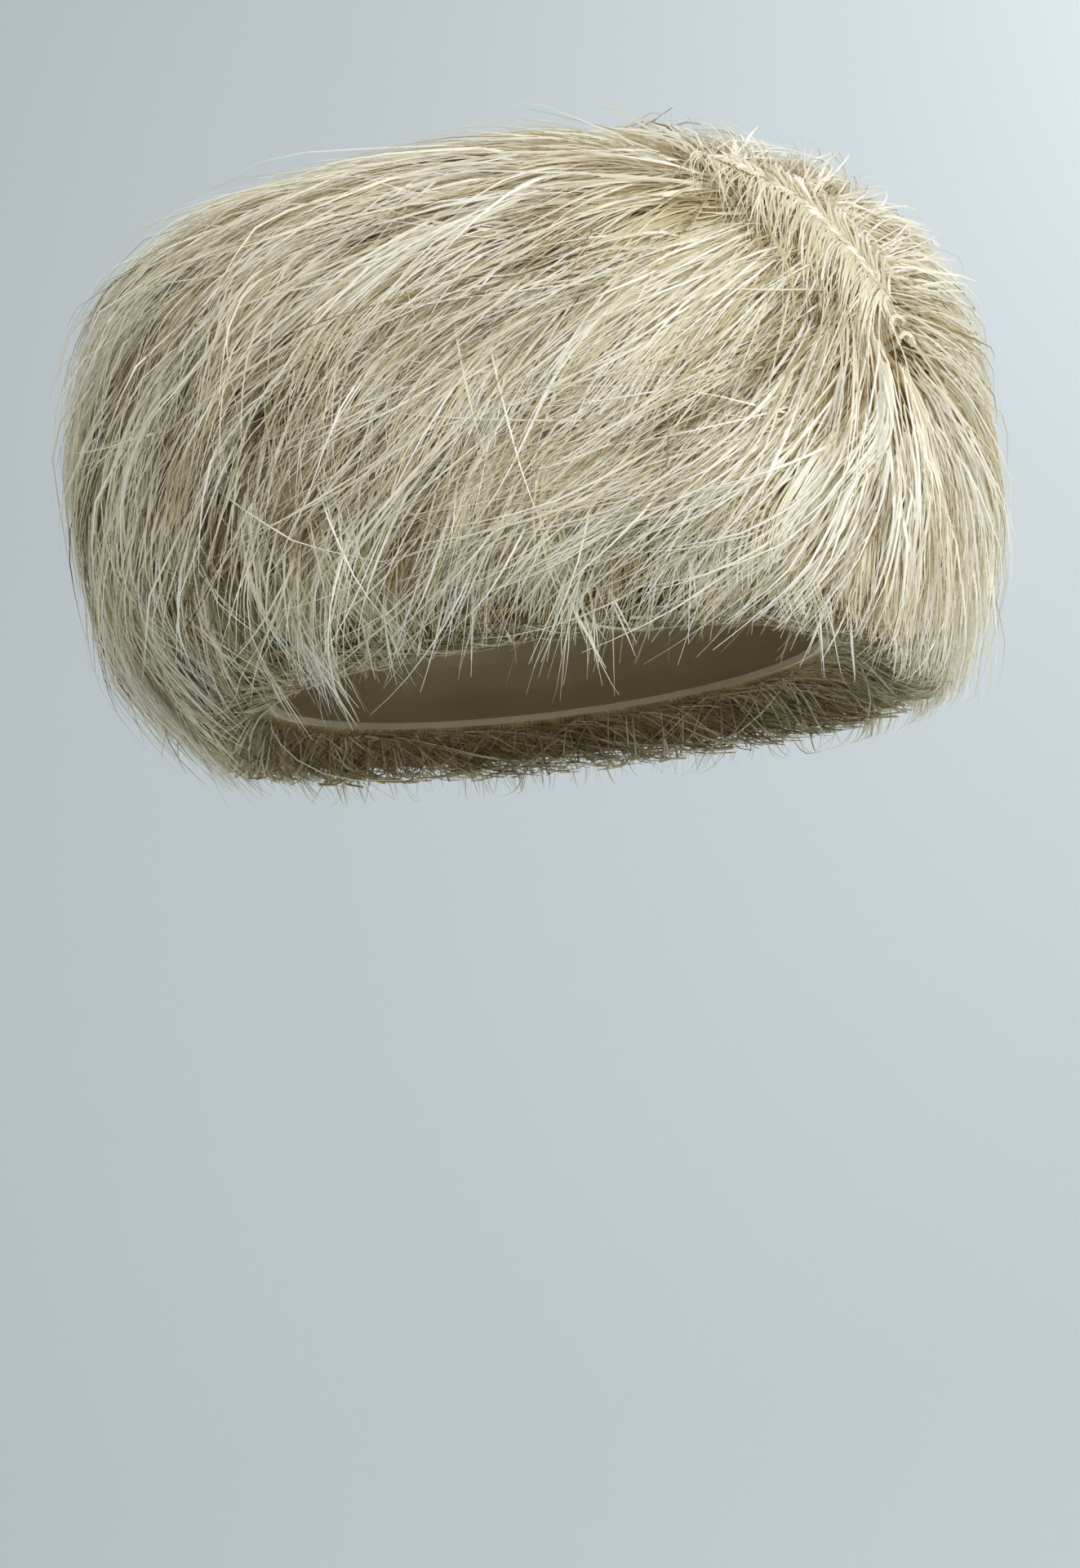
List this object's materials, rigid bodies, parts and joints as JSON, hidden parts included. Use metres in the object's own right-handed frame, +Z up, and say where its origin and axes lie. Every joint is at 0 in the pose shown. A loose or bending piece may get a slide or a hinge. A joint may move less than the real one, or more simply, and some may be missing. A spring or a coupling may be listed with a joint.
{
  "type": "feather hat",
  "caption": "Brimless bubble toque: a hollow crown base covered by overlapping rows of long fine feather locks that sweep from a parting at one side.",
  "frame": {"origin": "middle of the head opening, in the plane of its rim", "axes": "+Z up through the crown, -Y towards the front, +X towards the side with the parting"},
  "size_m": [0.2497, 0.2555, 0.1565],
  "materials": {
    "crown_felt": "matt golden-brown felt",
    "feather_cream": "soft cream feather barbs, a little brown where shaded",
    "feather_ivory": "fine ivory feather barbs with a silky sheen",
    "quill": "pale yellow horn, half gloss"
  },
  "bodies": {
    "root": {"crown_base": "crown_felt", "hem_feathers": "feather_cream", "side_feathers_right": "feather_ivory", "side_feathers_back": "feather_ivory", "side_feathers_left": "feather_ivory", "side_feathers_front": "feather_ivory", "crown_feathers_right": "feather_ivory", "crown_feathers_left": "feather_ivory", "parting_feather": "feather_ivory", "quill_knot_1": "quill", "quill_knot_2": "quill", "quill_knot_3": "quill"}
  },
  "joints": []
}
